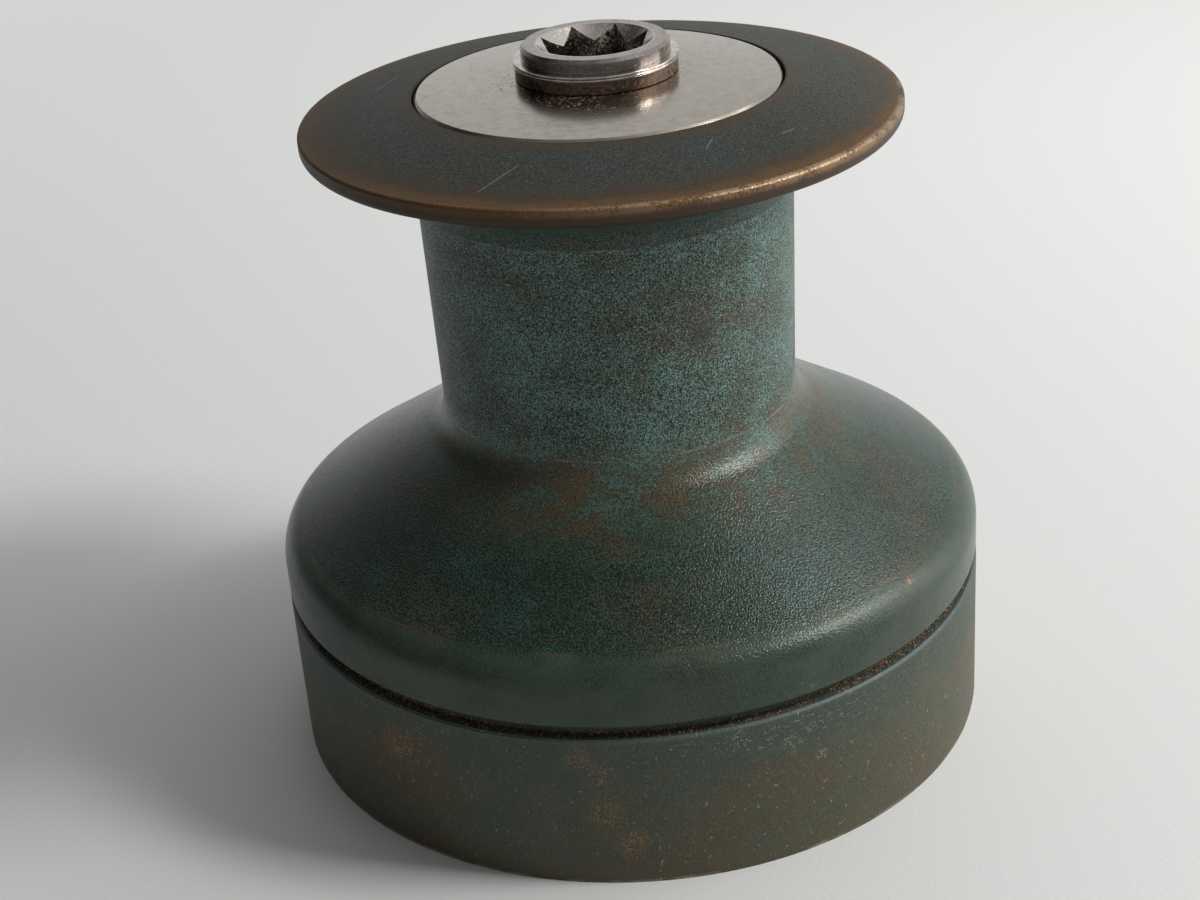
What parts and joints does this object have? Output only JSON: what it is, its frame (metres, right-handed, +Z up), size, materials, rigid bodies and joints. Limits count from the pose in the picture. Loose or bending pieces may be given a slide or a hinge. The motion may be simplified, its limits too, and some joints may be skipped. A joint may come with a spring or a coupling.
{
  "type": "two-speed sheet winch",
  "caption": "Upright sheet winch: skirted base, flared drum turning on a centre stem, star-socket spindle and an inner gear train that links spindle and drum.",
  "frame": {"origin": "centre of the base's flat underside, where the winch stands on its deck", "axes": "+Z up along the spindle and drum axis; +X towards the gear shaft beside the stem; -Y is the side that the picture shows"},
  "size_m": [0.1604, 0.1604, 0.1579],
  "materials": {
    "drum_bronze": "grit-textured, patinated bronze",
    "base_bronze": "dark patinated bronze casting",
    "stem_bronze": "machined bronze casting",
    "bush_bronze": "machined bronze",
    "cap_steel": "brushed stainless, pitted",
    "spindle_steel": "turned stainless with rust freckles",
    "ring_steel": "bright spring steel",
    "gear_steel": "hardened steel, greased",
    "gear_bronze": "machined aluminium bronze",
    "bearing_plastic": "acetal"
  },
  "bodies": {
    "base": {"base_housing": "base_bronze", "centre_stem": "stem_bronze", "gear_shaft": "gear_steel", "lower_bush": "bush_bronze", "upper_bush": "bush_bronze", "lower_bearing": "bearing_plastic", "upper_bearing": "bearing_plastic", "stem_washer": "bearing_plastic"},
    "drum": {"drum": "drum_bronze", "drum_ring_gear": "gear_steel", "drive_ratchet_ring": "gear_steel", "top_cap": "cap_steel"},
    "spindle": {"main_spindle": "spindle_steel", "spindle_key": "gear_steel", "spindle_collar": "spindle_steel", "retaining_ring": "ring_steel", "drive_pawls": "gear_steel", "spindle_gear": "gear_bronze"},
    "ratchet_wheel": {"ratchet_gear": "gear_bronze"},
    "pinion_unit": {"pinion": "gear_bronze", "pawl_carrier": "gear_bronze", "pinion_pawls": "gear_steel"}
  },
  "joints": [
    {"name": "drum_spin", "type": "hinge", "parent": "base", "child": "drum", "pos_m": [0, 0, 0.09], "axis": [0, 0, 1], "continuous": true},
    {"name": "spindle_spin", "type": "hinge", "parent": "base", "child": "spindle", "pos_m": [0, 0, 0.09], "axis": [0, 0, 1], "continuous": true},
    {"name": "ratchet_spin", "type": "hinge", "parent": "base", "child": "ratchet_wheel", "pos_m": [0.046, 0, 0.015], "axis": [0, 0, 1], "continuous": true},
    {"name": "pinion_spin", "type": "hinge", "parent": "base", "child": "pinion_unit", "pos_m": [0.046, 0, 0.03], "axis": [0, 0, 1], "continuous": true}
  ],
  "couplings": [
    {"joint": "pinion_spin", "follows": "drum_spin", "ratio": 3.875},
    {"joint": "ratchet_spin", "follows": "spindle_spin", "ratio": -1.0909}
  ]
}
